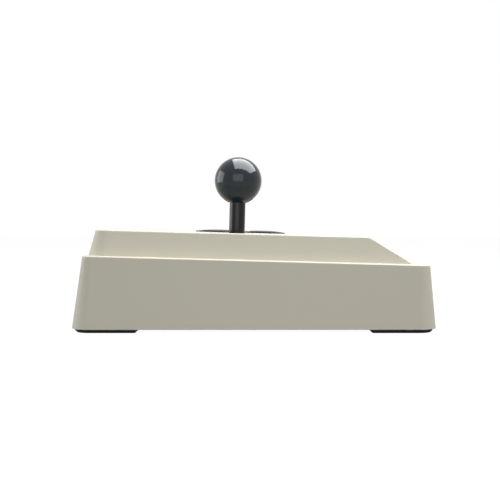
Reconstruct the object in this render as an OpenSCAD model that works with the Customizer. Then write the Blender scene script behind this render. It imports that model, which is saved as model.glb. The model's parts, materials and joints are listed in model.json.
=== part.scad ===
// Arcade fight stick: a two-tier moulded case with a ball-top lever and eight snap-in buttons.
// Origin in the middle of the footprint, on the table. +X to the player's right, +Y to the back, +Z up.

/* [Case] */
// Width of the case at its bottom edge
case_w = 340; // [325:5:380]
// Depth of the case at its bottom edge
case_d = 241; // [236:1:264]
// Corner radius of the case at its bottom edge
corner_r = 12.5; // [9:0.5:16]
// Slope of the deck down towards the player, in degrees
case_tilt = 1.55; // [0.5:0.05:2.5]
// Height of the ledge over the bottom edge, at the middle of the case
ledge_h = 44.7; // [42:0.1:48]
// Height of the raised tier over the ledge
tier_h = 17.2; // [16:0.2:20]
// Draft of the lower walls, in degrees
case_draft = 6.8; // [3:0.1:8]
// Draft of the raised tier's back and side walls, in degrees
tier_draft = 14.5; // [10:0.5:18]
// Slope of the raised tier's front face, in degrees from the deck
front_slope = 30; // [27:0.5:36]
// Width of the ledge at the sides
side_ledge_w = 8; // [4:0.5:12]
// Width of the ledge at the back
back_ledge_w = 1.6; // [1:0.1:6]
// Width of the ledge on the player's side
front_ledge_w = 12; // [10:0.5:16]
// Corner radius of the raised tier at the ledge
tier_r = 14; // [12:0.5:16]
// Rounding of the outer edges
edge_r = 0.8; // [0.5:0.1:1.8]
// Thickness of the case walls
wall_t = 2.5; // [2:0.1:3]
// Thickness of the deck
deck_t = 3; // [2.6:0.1:3.4]
// Thickness of the base plate
base_plate_t = 2; // [1.6:0.1:2.4]

/* [Feet] */
// Height of the feet under the case
foot_h = 2.5; // [2.2:0.1:4]
// Length of a foot pad along each side of its corner
foot_l = 40; // [32:1:46]
// Distance of a foot pad from the case's bottom edge
foot_inset = 4.3; // [3.5:0.1:6]

/* [Lever] */
// Distance of the lever from the middle of the case, to the left
lever_side = 85; // [78:1:92]
// Place of the lever behind the middle of the deck
lever_v = 14; // [8:1:18]
// Diameter of the ball
ball_d = 35; // [32:0.5:38]
// Height of the ball's centre over the deck
ball_h = 38.9; // [36:0.1:46]
// Diameter of the steel shaft
shaft_d = 9.5; // [9:0.1:9.8]
// Outer diameter of the shaft cover
cover_d = 11.8; // [11.4:0.1:12.4]
// Diameter of the lever's hole in the deck
lever_hole_d = 24; // [23.5:0.5:28]
// Depth of the pivot under the deck
pivot_depth = 19; // [18.5:0.1:20]
// Tilt of the lever each way, in degrees
lever_tilt = 8.5; // [6:0.25:9]

/* [Buttons] */
// Distance from the lever to the first column of buttons
lever_to_buttons = 62; // [58:1:66]
// Distance between the columns
col_pitch = 36; // [35:0.5:38]
// Distance between the two rows
row_pitch = 39.5; // [37:0.5:42]
// Place of the rows' middle behind the middle of the deck
row_mid_v = 12; // [8:1:16]
// Diameter of the holes that the buttons snap into
button_hole_d = 30; // [29.6:0.1:30.4]
// Outer diameter of a button's rim
rim_d = 33.3; // [32.5:0.1:34.5]
// Height of a button's rim over the deck
rim_h = 0.8; // [0.6:0.1:2.4]
// Diameter of a button's cap
cap_d = 24; // [23.4:0.1:24.4]
// Height of a cap's crown over the rim
cap_proud = 0.8; // [0.6:0.1:2]
// Travel of a button
cap_travel = 3.5; // [2.5:0.1:4]
// Diameter of a function key
key_d = 10; // [8:0.5:11]
// Distance between the function keys
key_pitch = 18; // [16:0.5:20]
// Distance of the function keys from the back of the raised tier, at the ledge
key_v = 31; // [27:0.5:40]
// Travel of a function key
key_travel = 0.5; // [0.3:0.1:0.7]

/* [Hidden] */
$fn = 64;
hull_fn = 32;
overrun = 1;
// Thin slice that joins one shape to the next
lap = 0.01;
// Step that drafted outlines are rounded to
grain = 0.001;
// Gap between pieces that move past each other, and between pieces that are set together
run_gap = 0.3;
fit_gap = 0.1;
// Steps that an edge rounding takes
edge_steps = 4;
// How wide the top of a pan head is
head_top_share = 0.8;
// Colours
case_colour = [0.78, 0.76, 0.69];
black = [0.1, 0.1, 0.1];
slate = [0.14, 0.17, 0.2];
steel = [0.72, 0.73, 0.75];
nylon = [0.92, 0.91, 0.87];
board_green = [0.1, 0.35, 0.2];

// Case outlines, across the deck (x) and along it (v, to the back). The walls stand square to the deck
// but for their draft, and the bottom edge is cut level
deck_h = ledge_h + tier_h;
case_in = ledge_h * tan(case_draft);
base_back = case_d / 2 * cos(case_tilt) * (1 - tan(case_tilt) * tan(case_draft));
base_front = -case_d / 2 * cos(case_tilt) * (1 + tan(case_tilt) * tan(case_draft));
base_drop = case_d * tan(case_tilt);
tier_w = case_w - 2 * case_in - 2 * side_ledge_w;
tier_back = base_back - case_in - back_ledge_w;
tier_front = base_front + case_in + front_ledge_w;
tier_in = tier_h * tan(tier_draft);

// Base plate, its screws and their posts
plate_gap = 0.8;
base_plate_w = case_w - 2 * (wall_t + plate_gap);
base_plate_d = case_d - 2 * (wall_t + plate_gap);
base_plate_r = corner_r - wall_t - plate_gap;
floor_h = foot_h + base_plate_t;
post_r = 4;
post_fin_l = 3;
post_fin_t = 1.5;
post_fin_clear = 14;
end_screw_inset = 55;
back_screw_inset = 7.5;
front_screw_inset = 13;
case_screw_r = 1.5;
case_screw_l = 10;
case_head_r = 2.8;
case_head_h = 1.7;

// Foot pads
foot_chamfer = 1.5;
foot_corner_r = 2.5;
foot_cut_share = 0.55;

// Lever mounting: posts under the deck and a steel plate on them
lever_x = -lever_side;
plate_depth = 12;
plate_w = 53;
plate_d = 95;
plate_t = 1.6;
plate_r = 5;
plate_hole_r = 15;
plate_post_r = 4.5;
plate_post_x = 20;
plate_post_v = 42;
plate_screw_r = 2;
plate_screw_l = 8;
plate_head_r = 3.6;
plate_head_h = 2.4;

// Lever body, measured down from the deck
pivot_w = -pivot_depth;
base_top = -plate_depth - plate_t;
lever_base_w = 58;
lever_base_h = 26;
lever_base_r = 4;
lever_base_wall = 2;
lever_base_top_t = 3;
base_bottom = base_top - lever_base_h;
hub_r = 13;
hub_drop = 6;
hub_bottom = pivot_w - hub_drop;
hub_rib_t = 2;
pivot_r = 8.5;
pivot_up = 6;
pivot_down = 5;
seat_r = pivot_r + fit_gap;
hub_mouth_r = 6.8;
corner_post_r = 3;
corner_post_inset = 7;
corner_post_x = lever_base_w / 2 - corner_post_inset;
stack_screw_r = 1.5;
stack_head_r = 2.8;
stack_head_h = 1.8;

// Switch board under the lever body
board_t = 1.6;
lever_board_bottom = base_bottom - board_t;
lever_tab_w = 16;
lever_tab_l = 9;
connector_w = 12.5;
connector_d = 5.8;
connector_h = 7;
pin_r = 0.5;
pin_l = 2.2;
pin_pitch = 7;
pin_row_share = 0.75;
connector_wall = 1;

// Square gate under the board
gate_rim_h = 1.2;
gate_rim_t = 2;
gate_t = 3;
gate_top = lever_board_bottom - gate_rim_h;
gate_bottom = gate_top - gate_t;
gate_corner_r = 2;

// Moving stack of the lever
washer_r = 16;
washer_t = 1;
washer_depth = 7;
shaft_r = shaft_d / 2;
shaft_tail_r = 4;
shaft_thread_r = 3;
collar_r = 6.2;
collar_t = 1.5;
collar_bottom = pivot_w + pivot_up + fit_gap;
cover_bottom = collar_bottom + collar_t + fit_gap;
ball_mouth_up = 3.5;
cover_top = ball_h - ball_d / 2 + ball_mouth_up;
thread_in_ball = 18;
spring_seat_t = 1.5;
spring_top = hub_bottom - spring_seat_t - run_gap;
spring_r = 7.5;
spring_wire_r = 0.6;
spring_l = 7.4;
spring_turns = 4;
spring_steps = 16;
actuator_r = 8;
actuator_top = spring_top - spring_l - run_gap;
actuator_shoulder = base_bottom + fit_gap * 2;
nose_r = 5.5;
clip_t = 0.8;
clip_r = 6.5;
diagonal_tilt = acos(cos(lever_tilt) * cos(lever_tilt));
clip_lift = clip_r * sin(diagonal_tilt) + (pivot_w - gate_bottom) * (1 - cos(diagonal_tilt));
nose_bottom = gate_bottom - clip_lift - run_gap;
clip_groove_r = 3.2;
clip_mouth = 5;
shaft_tail = 1.6;
shaft_bottom = nose_bottom - clip_t - shaft_tail;

// Reach across of a ring of radius r, at height w, when the lever is at its limit
function reach(w, r) = (pivot_w - w) * tan(lever_tilt) + r / cos(lever_tilt);
// Reach towards a corner, with both tilts at their limits
function corner_reach(w, r) = (pivot_w - w) * tan(lever_tilt) * sqrt(2) + r / cos(lever_tilt);
gate_half = reach(nose_bottom, nose_r) + run_gap;
board_hole_r = corner_reach(base_bottom, actuator_r) + 2 * run_gap;

// Microswitches
switch_l = 19.8;
switch_t = 6.4;
switch_h = 10.2;
switch_face = reach(actuator_shoulder, actuator_r) + run_gap;
nub_r = 1.2;
nub_out = 0.2;
tab_w = 2.8;
tab_t = 0.5;
tab_l = 7;
tab_x = 7.4;

// Button bodies and caps
barrel_gap = 0.2;
barrel_r = button_hole_d / 2 - barrel_gap;
bore_r = cap_d / 2 + run_gap;
barrel_l = 17;
barrel_floor_t = 1.6;
rim_round_share = 0.8;
rim_round = rim_h * rim_round_share;
stem_r = 2.2;
stem_gap = 0.4;
stem_in_switch = 1;
cap_top_t = 2;
cap_wall = 1.5;
cap_skirt = 9;
crown_h = 0.6;
lug_w = 4;
lug_h = 2;
lug_out = 1.4;
ear_w = 7;
ear_out = 0.9;
ear_h = 5;
arm_t = 1.2;
arm_l = 6;
arm_w = 9;
first_col_x = lever_x + lever_to_buttons;
cols = 4;
buttons = 2 * cols;

// Function keys, their board and switches
keys = 4;
key_gap = 0.3;
key_flange = 1.5;
key_flange_t = 1.2;
key_proud = 0.1;
tact_w = 6;
tact_h = 3.5;
tact_nub_r = 1.75;
tact_nub_h = 0.8;
key_underside = -deck_t - run_gap - key_flange_t;
key_board_top = key_underside - key_travel - 2 * fit_gap - tact_nub_h - tact_h;
key_board_d = 16;
key_post_r = 3;
key_post_in = 5;
key_post_x = (keys - 1) * key_pitch / 2 + key_d / 2 + key_flange + run_gap + key_post_r;
key_board_w = 2 * (key_post_x + key_post_in);
keys_x = first_col_x + (cols - 1) * col_pitch / 2;
keys_v = tier_back - key_v;

// Main board on the base plate, and the socket in the back wall
main_w = 80;
main_d = 42;
main_back_gap = 10.5;
main_standoff_h = 8;
standoff_r = 3;
board_hole_in = 5;
board_screw_r = 1.25;
board_screw_l = 6;
board_head_r = 2.4;
board_head_h = 1.4;
main_bottom = floor_h + main_standoff_h;
main_top = main_bottom + board_t;
main_back = case_d / 2 - main_back_gap;
main_mid = main_back - main_d / 2;
socket_w = 8.9;
socket_h = 3.2;
socket_l = 7.5;
socket_shell = 0.3;
socket_back_t = 1;
tongue_w = 6.7;
tongue_t = 0.7;
tongue_in = 0.5;
socket_z = main_top + socket_h / 2;
recess_w = 13;
recess_h = 7.5;
recess_wall = 2;
recess_depth = 8;
recess_floor = case_d / 2 - recess_depth;
chip_w = 12;
chip_h = 1.4;
header_w = 12.5;
header_d = 5.8;
header_h = 7;
header_x = 25;
header_y = main_mid - main_d / 2 + header_d;

// Wiring: each bundle arches from one end to the other
lever_bundle_r = 1.8;
button_bundle_r = 2.2;
bundle_sides = 8;
bundle_steps = 16;
bundle_lead = 3;
bundle_rise = 12;
wire_r = 0.9;
trunk_drop = 7;

// Where things stand: a frame at a height over the middle of the bottom edge, square to the deck
module case_frame(h) {
  translate([0, 0, foot_h]) rotate([case_tilt, 0, 0]) translate([0, 0, h]) children();
}

module on_deck(x, v) {
  case_frame(deck_h) translate([x, v, 0]) children();
}

module at_lever() {
  on_deck(lever_x, lever_v) children();
}

function col_x(i) = first_col_x + ((i - 1) % cols) * col_pitch;
function row_v(i) = row_mid_v + (i <= cols ? row_pitch : -row_pitch) / 2;
function key_x(i) = keys_x + (i - (keys + 1) / 2) * key_pitch;

module at_button(i) {
  on_deck(col_x(i), row_v(i)) children();
}

// Point of the case frame in the part's own frame
function placed(x, v, h) =
  [x, v * cos(case_tilt) - h * sin(case_tilt), foot_h + v * sin(case_tilt) + h * cos(case_tilt)];

// Height of a surface that is square to the deck, at a place on the table
function height_at(y, h) = foot_h + (y + h * sin(case_tilt)) * tan(case_tilt) + h * cos(case_tilt);

// Rounded to the grain, so that outlines which meet do so exactly
function even(x) = round(x / grain) * grain;

// Side of a drafted wall from one level to another: how far in it stands, and its level
function wall_side(bottom, top, draft, edge) =
  let (middle = edge * cos(draft) + (top - edge + edge * sin(draft)) * tan(draft))
  concat(
    [[even(bottom * tan(draft)), even(bottom)]],
    edge == 0 ? [[even(top * tan(draft)), even(top)]] : [
      for (i = [0:edge_steps])
        let (a = draft + (90 - draft) * i / edge_steps)
        [even(middle - edge * cos(a)), even(top - edge + edge * sin(a))]
    ]
  );

// Block with drafted walls and rounded corners. Its outline is given at level zero
module drafted_block(w, back, front, r, bottom, top, draft, edge, front_round) {
  side = wall_side(bottom, top, draft, edge);
  last = len(side) - 1;
  half = even(w / 2);
  b = even(back);
  f = even(front);
  front_in = front_round ? r : 0;
  translate([r - half, 0, 0]) rotate([90, 0, 90]) linear_extrude(2 * (half - r))
    polygon(concat(
      [for (p = side) [b - p[0], p[1]]],
      [for (i = [last:-1:0]) [f + (front_round ? side[i][0] : 0), side[i][1]]]
    ));
  translate([0, b - r, 0]) rotate([90, 0, 0]) linear_extrude(b - r - f - front_in)
    polygon(concat(
      [for (p = side) [half - p[0], p[1]]],
      [for (i = [last:-1:0]) [side[i][0] - half, side[i][1]]]
    ));
  for (sx = [-1, 1]) {
    for (v = front_round ? [b - r, f + r] : [b - r]) {
      translate([sx * (half - r), v, 0]) rotate(sx > 0 ? 180 : 0) rotate_extrude()
        polygon(concat([[0, side[0][1]]], [for (p = side) [r - p[0], p[1]]], [[0, side[last][1]]]));
    }
  }
}

// Flat plate with rounded corners, its top at zero
module plate(w, d, r, t) {
  translate([0, 0, -t]) linear_extrude(t) {
    square([w - 2 * r, d], center = true);
    square([w, d - 2 * r], center = true);
    for (sx = [-1, 1]) {
      for (sy = [-1, 1]) {
        translate([sx * (w / 2 - r), sy * (d / 2 - r)]) circle(r);
      }
    }
  }
}

// Pan-head screw that points up, its head under zero
module screw(r, l, head_r, head_h) {
  cylinder(r = r, h = l);
  translate([0, 0, -head_h]) cylinder(r1 = head_r * head_top_share, r2 = head_r, h = head_h / 2);
  translate([0, 0, -head_h / 2]) cylinder(r = head_r, h = head_h / 2);
}

// Points of an arc, for profiles
function arc(x, y, r, from, to, n) = [
  for (i = [0:n]) let (a = from + (to - from) * i / n) [x + r * cos(a), y + r * sin(a)]
];

// Tube along a path, with flat ends
module tube(path, r, sides) {
  n = len(path);
  side_way = cross(path[n - 1] - path[0], [0, 0, 1]);
  across = side_way / norm(side_way);
  points = [
    for (i = [0:n - 1])
      let (ahead = path[min(i + 1, n - 1)] - path[max(i - 1, 0)], up = cross(across, ahead))
      for (k = [0:sides - 1])
        let (a = 360 * k / sides) path[i] + r * (cos(a) * across + sin(a) * up / norm(up))
  ];
  skin_faces = [
    for (i = [0:n - 2]) for (k = [0:sides - 1]) let (m = (k + 1) % sides) each [
      [i * sides + k, (i + 1) * sides + m, (i + 1) * sides + k],
      [i * sides + k, i * sides + m, (i + 1) * sides + m]
    ]
  ];
  ends = [[for (k = [0:sides - 1]) sides - 1 - k], [for (k = [0:sides - 1]) (n - 1) * sides + k]];
  polyhedron(points, concat(skin_faces, ends));
}

// Arch that leaves one point along a direction and comes down on another
function arch_path(a, way, b) =
  let (from = a + bundle_lead * way, to = b + [0, 0, bundle_lead])
  let (c = from + bundle_rise * way, d = to + [0, 0, bundle_rise])
  [
    a,
    for (i = [0:bundle_steps])
      let (t = i / bundle_steps, u = 1 - t)
      u * u * u * from + 3 * u * u * t * c + 3 * u * t * t * d + t * t * t * to,
    b
  ];

// Round bar from one point to another
module bar(a, b, r) {
  d = b - a;
  translate(a)
    rotate([0, acos(d[2] / norm(d)), atan2(d[1], d[0])])
      cylinder(r = r, h = norm(d));
}

// CASE

module lower_tier() {
  difference() {
    case_frame(0)
      drafted_block(case_w, base_back, base_front, corner_r, -base_drop, ledge_h, case_draft, edge_r, true);
    translate([-case_w, -case_d, foot_h - case_d]) cube([2 * case_w, 2 * case_d, case_d]);
  }
}

module lower_hollow() {
  case_frame(0)
    drafted_block(case_w - 2 * wall_t, base_back - wall_t, base_front + wall_t, corner_r - wall_t,
      -base_drop - overrun, ledge_h - wall_t, case_draft, 0, true);
}

// Everything over the front slope
module over_slope(start) {
  translate([0, start, 0]) rotate([front_slope, 0, 0]) translate([-case_w / 2, -case_d / 2, 0])
    cube([case_w, case_d, case_d / 2]);
}

module raised_tier() {
  case_frame(ledge_h) difference() {
    drafted_block(tier_w, tier_back, tier_front - 2 * wall_t, tier_r, -wall_t / 2, tier_h, tier_draft,
      edge_r, false);
    over_slope(tier_front);
  }
}

module raised_hollow() {
  start = tier_front + wall_t / sin(front_slope);
  case_frame(ledge_h) difference() {
    drafted_block(tier_w - 2 * wall_t, tier_back - wall_t, start, tier_r - wall_t,
      -wall_t - overrun, tier_h - deck_t, tier_draft, 0, false);
    over_slope(start);
  }
}

// Places of the case screws: two at the back, three at the front, one under each side ledge
screw_x = case_w / 2 - end_screw_inset;
back_y = placed(0, tier_back - tier_in, deck_h)[1] - back_screw_inset;
front_y = front_screw_inset - case_d / 2;
side_x = case_w / 2 - case_in - max(side_ledge_w / 2, post_r);
under_deck = [[-screw_x, back_y], [screw_x, back_y]];
under_front = [[-screw_x, front_y], [0, front_y], [screw_x, front_y]];
under_side = [[-side_x, 0], [side_x, 0]];
case_screw_spots = concat(under_deck, under_front, under_side);

// Post from the base plate up to a surface of the case, with fins in the ways given
module case_post(p, top, ways = [0, 90, 180, 270]) {
  l = height_at(p[1], top) - floor_h;
  translate([p[0], p[1], floor_h]) difference() {
    union() {
      cylinder(r = post_r, h = l);
      for (way = ways) {
        rotate(way) translate([0, -post_fin_t / 2, post_fin_clear])
          cube([post_r + post_fin_l, post_fin_t, l - post_fin_clear]);
      }
    }
    translate([0, 0, -overrun]) cylinder(r = case_screw_r + fit_gap, h = case_screw_l + overrun);
  }
}

// Grid of ribs under the deck, between the buttons
rib_h = 5;
rib_t = 1.6;
module deck_ribs() {
  left = first_col_x - col_pitch / 2;
  length = cols * col_pitch;
  depth = row_pitch + rim_d + 2 * rib_t;
  on_deck(0, row_mid_v) translate([0, 0, -deck_t - rib_h]) {
    for (i = [0:cols]) {
      translate([left + i * col_pitch - rib_t / 2, -depth / 2, 0]) cube([rib_t, depth, rib_h + deck_t / 2]);
    }
    for (v = [-depth / 2, -rib_t / 2, depth / 2 - rib_t]) {
      translate([left, v, 0]) cube([length, rib_t, rib_h + deck_t / 2]);
    }
  }
}

module top_housing() {
  color(case_colour) difference() {
    union() {
      difference() {
        union() {
          lower_tier();
          raised_tier();
        }
        lower_hollow();
        raised_hollow();
      }
      for (p = under_deck) {
        case_post(p, deck_h - deck_t / 2);
      }
      for (p = under_front) {
        case_post(p, ledge_h - wall_t / 2);
      }
      for (p = under_side) {
        case_post(p, ledge_h - wall_t / 2, [90, p[0] < 0 ? 0 : 180, 270]);
      }
      deck_ribs();
      lever_posts();
      key_posts();
      recess_shell();
    }
    for (i = [1:buttons]) {
      at_button(i) translate([0, 0, -deck_t - rib_h - overrun])
        cylinder(d = button_hole_d, h = deck_t + rib_h + 2 * overrun);
    }
    for (i = [1:keys]) {
      on_deck(key_x(i), keys_v) translate([0, 0, -deck_t - overrun])
        cylinder(r = key_d / 2 + key_gap, h = deck_t + 2 * overrun);
    }
    at_lever() translate([0, 0, -deck_t - overrun]) cylinder(d = lever_hole_d, h = deck_t + 2 * overrun);
    at_lever() plate_spots() translate([0, 0, -plate_depth - overrun])
      cylinder(r = plate_screw_r, h = plate_screw_l + overrun);
    for (side = [-1, 1]) {
      on_deck(keys_x + side * key_post_x, keys_v)
        translate([0, 0, key_board_top - overrun])
          cylinder(r = board_screw_r + fit_gap, h = board_screw_l + overrun);
    }
    socket_recess();
  }
}

module plate_spots() {
  for (sx = [-1, 1]) {
    for (sv = [-1, 1]) {
      translate([sx * plate_post_x, sv * plate_post_v, 0]) children();
    }
  }
}

module lever_posts() {
  at_lever() plate_spots() translate([0, 0, -plate_depth])
    cylinder(r = plate_post_r, h = plate_depth - deck_t / 2);
}

module key_posts() {
  for (side = [-1, 1]) {
    on_deck(keys_x + side * key_post_x, keys_v) translate([0, 0, key_board_top])
      cylinder(r = key_post_r, h = -key_board_top - deck_t / 2);
  }
}

// Walls of the recess that takes the plug, and the recess itself
module recess_shell() {
  w = recess_w + 2 * recess_wall;
  h = recess_h + 2 * recess_wall;
  y = recess_floor - recess_wall;
  wall_in = (socket_z - foot_h) * tan(case_draft + case_tilt) + wall_t / 2;
  translate([-w / 2, y, socket_z - h / 2]) cube([w, case_d / 2 - wall_in - y, h]);
}

module socket_recess() {
  translate([-recess_w / 2, recess_floor, socket_z - recess_h / 2])
    cube([recess_w, case_d / 2 - recess_floor + overrun, recess_h]);
  translate([0, recess_floor - recess_wall - overrun, socket_z]) rotate([-90, 0, 0])
    socket_outline(socket_w / 2 + run_gap, socket_h / 2 + run_gap, recess_wall + 2 * overrun);
}

module base_plate() {
  color(black) difference() {
    union() {
      translate([0, 0, floor_h]) plate(base_plate_w, base_plate_d, base_plate_r, base_plate_t);
      main_board_spots() translate([0, 0, floor_h]) cylinder(r = standoff_r, h = main_standoff_h);
    }
    for (p = case_screw_spots) {
      translate([p[0], p[1], foot_h - overrun])
        cylinder(r = case_screw_r + run_gap, h = base_plate_t + 2 * overrun);
    }
    main_board_spots() translate([0, 0, floor_h + fit_gap])
      cylinder(r = board_screw_r + fit_gap, h = main_standoff_h + overrun);
  }
}

module case_screws() {
  color(steel) for (p = case_screw_spots) {
    translate([p[0], p[1], foot_h]) screw(case_screw_r, case_screw_l, case_head_r, case_head_h);
  }
}

// Foot pad that follows its corner of the case
module foot(sx, sy) {
  outer_r = corner_r - foot_inset;
  cut = foot_l * foot_cut_share;
  color(black) translate([sx * (case_w / 2 - foot_inset), sy * (case_d / 2 - foot_inset), 0])
    mirror([sx > 0 ? 1 : 0, 0, 0]) mirror([0, sy > 0 ? 1 : 0, 0])
      hull() {
        translate([0, 0, foot_chamfer]) foot_discs(0, foot_h - foot_chamfer, outer_r, cut);
        foot_discs(foot_chamfer, lap, outer_r, cut);
      }
}

module foot_discs(inset, h, outer_r, cut) {
  r = foot_corner_r;
  far = foot_l - r;
  spots = [[outer_r, outer_r, outer_r], [far, r, r], [far, cut - r, r], [cut - r, far, r], [r, far, r]];
  for (s = spots) {
    translate([s[0], s[1], 0]) cylinder(r = s[2] - inset, h = h, $fn = hull_fn);
  }
}

// LEVER

module mount_plate() {
  color(steel) at_lever() difference() {
    translate([0, 0, -plate_depth]) plate(plate_w, plate_d, plate_r, plate_t);
    translate([0, 0, base_top - overrun]) cylinder(r = plate_hole_r, h = plate_t + 2 * overrun);
    plate_spots() translate([0, 0, base_top - overrun])
      cylinder(r = plate_screw_r + run_gap, h = plate_t + 2 * overrun);
    stack_spots() translate([0, 0, base_top - overrun])
      cylinder(r = stack_screw_r + fit_gap, h = plate_t + 2 * overrun);
  }
}

module plate_screws() {
  color(steel) at_lever() plate_spots() translate([0, 0, base_top])
    screw(plate_screw_r - fit_gap, plate_screw_l, plate_head_r, plate_head_h);
}

module stack_spots() {
  for (sx = [-1, 1]) {
    for (sv = [-1, 1]) {
      translate([sx * corner_post_x, sv * corner_post_x, 0]) children();
    }
  }
}

module lever_base() {
  inner_w = lever_base_w - 2 * lever_base_wall;
  inner_h = lever_base_h - lever_base_top_t;
  color(black) at_lever() difference() {
    union() {
      difference() {
        translate([0, 0, base_top]) plate(lever_base_w, lever_base_w, lever_base_r, lever_base_h);
        translate([0, 0, base_top - lever_base_top_t])
          plate(inner_w, inner_w, lever_base_r - lever_base_wall, inner_h + overrun);
      }
      translate([0, 0, hub_bottom]) cylinder(r = hub_r, h = -plate_depth - hub_bottom);
      for (turn = [0, 90]) {
        rotate(turn) translate([-inner_w / 2 - lever_base_wall / 2, -hub_rib_t / 2, hub_bottom])
          cube([inner_w + lever_base_wall, hub_rib_t, base_top - hub_bottom - lever_base_top_t / 2]);
      }
      stack_spots() translate([0, 0, base_bottom])
        cylinder(r = corner_post_r, h = inner_h + lever_base_top_t / 2);
    }
    translate([0, 0, pivot_w]) sphere(r = seat_r);
    translate([0, 0, pivot_w]) cylinder(r = seat_r, h = pivot_depth);
    translate([0, 0, hub_bottom - overrun]) cylinder(r = hub_mouth_r, h = hub_drop);
    stack_spots() translate([0, 0, base_bottom - overrun])
      cylinder(r = stack_screw_r + fit_gap, h = lever_base_h + 2 * overrun);
  }
}

module lever_base_screws() {
  l = base_top - gate_bottom;
  color(steel) at_lever() stack_spots() translate([0, 0, gate_bottom])
    screw(stack_screw_r, l + plate_t, stack_head_r, stack_head_h);
}

module lever_board() {
  edge = lever_base_w / 2;
  color(board_green) at_lever() difference() {
    union() {
      translate([0, 0, base_bottom]) plate(lever_base_w, lever_base_w, lever_base_r, board_t);
      translate([-lever_tab_w / 2, edge - lever_base_r, lever_board_bottom])
        cube([lever_tab_w, lever_base_r + lever_tab_l, board_t]);
    }
    translate([0, 0, lever_board_bottom - overrun]) cylinder(r = board_hole_r, h = board_t + 2 * overrun);
    stack_spots() translate([0, 0, lever_board_bottom - overrun])
      cylinder(r = stack_screw_r + fit_gap, h = board_t + 2 * overrun);
    lever_pins(pin_r + fit_gap, board_t + 2 * overrun, base_bottom + overrun);
  }
}

// Three pins under each switch, hanging down from a height
module lever_pins(r, l, top) {
  for (turn = [0:90:270]) {
    for (k = [-1:1]) {
      rotate(turn) translate([switch_face + switch_h * pin_row_share, k * pin_pitch, top - l])
        cylinder(r = r, h = l);
    }
  }
}

module lever_switches() {
  color(black) at_lever() {
    for (turn = [0:90:270]) {
      rotate(turn) translate([switch_face, 0, base_bottom]) {
        translate([0, -switch_l / 2, 0]) cube([switch_h, switch_l, switch_t]);
        translate([0, switch_l / 4, switch_t / 2]) rotate([0, -90, 0]) cylinder(r = nub_r, h = nub_out);
      }
    }
    lever_pins(pin_r, pin_l, base_bottom + lap);
  }
}

module lever_connector() {
  color(nylon) at_lever()
    translate([-connector_w / 2, lever_base_w / 2 + lever_tab_l - connector_d - run_gap, base_bottom])
      difference() {
        cube([connector_w, connector_d, connector_h]);
        translate([connector_wall, connector_wall, connector_wall])
          cube([connector_w - 2 * connector_wall, connector_d - 2 * connector_wall, connector_h]);
      }
}

module restrictor_gate() {
  inner = lever_base_w - 2 * gate_rim_t;
  half = gate_half - gate_corner_r;
  color(black) at_lever() difference() {
    translate([0, 0, lever_board_bottom])
      plate(lever_base_w, lever_base_w, lever_base_r, gate_t + gate_rim_h);
    difference() {
      translate([0, 0, lever_board_bottom + overrun])
        plate(inner, inner, lever_base_r - gate_rim_t, gate_rim_h + overrun);
      stack_spots() translate([0, 0, gate_top]) cylinder(r = corner_post_r, h = gate_rim_h + 2 * overrun);
    }
    translate([0, 0, lever_board_bottom])
      plate(2 * gate_half, 2 * gate_half, gate_corner_r, gate_t + gate_rim_h + overrun);
    stack_spots() translate([0, 0, gate_bottom - overrun])
      cylinder(r = stack_screw_r + fit_gap, h = gate_t + gate_rim_h + 2 * overrun);
  }
}

module ring(inner, outer, bottom, t) {
  rotate_extrude() translate([inner, bottom]) square([outer - inner, t]);
}

module spring_seat() {
  color(steel) at_lever() ring(hub_mouth_r, hub_r, hub_bottom - spring_seat_t, spring_seat_t);
}

// Coil spring, one unbroken round wire
module return_spring() {
  n = spring_turns * spring_steps;
  sides = 6;
  rise = spring_l - 2 * spring_wire_r;
  points = [
    for (i = [0:n])
      let (turn = 360 * i / spring_steps, z = spring_top - spring_wire_r - rise * i / n)
      for (k = [0:sides - 1])
        let (a = 360 * k / sides, r = spring_r + spring_wire_r * cos(a))
        [r * cos(turn), r * sin(turn), z + spring_wire_r * sin(a)]
  ];
  faces = [
    for (i = [0:n - 1]) for (k = [0:sides - 1]) let (m = (k + 1) % sides) each [
      [i * sides + k, (i + 1) * sides + m, (i + 1) * sides + k],
      [i * sides + k, i * sides + m, (i + 1) * sides + m]
    ]
  ];
  ends = [[for (k = [0:sides - 1]) sides - 1 - k], [for (k = [0:sides - 1]) n * sides + k]];
  color(steel) at_lever() polyhedron(points, concat(faces, ends));
}

module ball_top() {
  color(slate) at_lever() difference() {
    translate([0, 0, ball_h]) sphere(d = ball_d, $fn = 96);
    translate([0, 0, ball_h - ball_d / 2 - overrun])
      cylinder(d = cover_d + 2 * fit_gap, h = ball_mouth_up + overrun);
    cylinder(r = shaft_thread_r + fit_gap / 2, h = cover_top + thread_in_ball + fit_gap);
  }
}

module lever_shaft() {
  groove_top = nose_bottom - fit_gap;
  groove_bottom = groove_top - clip_t - fit_gap;
  profile = [
    [0, shaft_bottom], [shaft_tail_r, shaft_bottom], [shaft_tail_r, groove_bottom],
    [clip_groove_r, groove_bottom], [clip_groove_r, groove_top], [shaft_tail_r, groove_top],
    [shaft_tail_r, actuator_top], [shaft_r, actuator_top], [shaft_r, collar_bottom],
    [collar_r, collar_bottom], [collar_r, collar_bottom + collar_t], [shaft_r, collar_bottom + collar_t],
    [shaft_r, cover_top], [shaft_thread_r, cover_top], [shaft_thread_r, cover_top + thread_in_ball],
    [0, cover_top + thread_in_ball]
  ];
  color(steel) at_lever() rotate_extrude() polygon(profile);
}

module shaft_cover() {
  color(black) at_lever() ring(shaft_r + fit_gap, cover_d / 2, cover_bottom, cover_top - cover_bottom);
}

module dust_washer() {
  color(black) at_lever() ring(cover_d / 2 + fit_gap, washer_r, -washer_depth - washer_t, washer_t);
}

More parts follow.
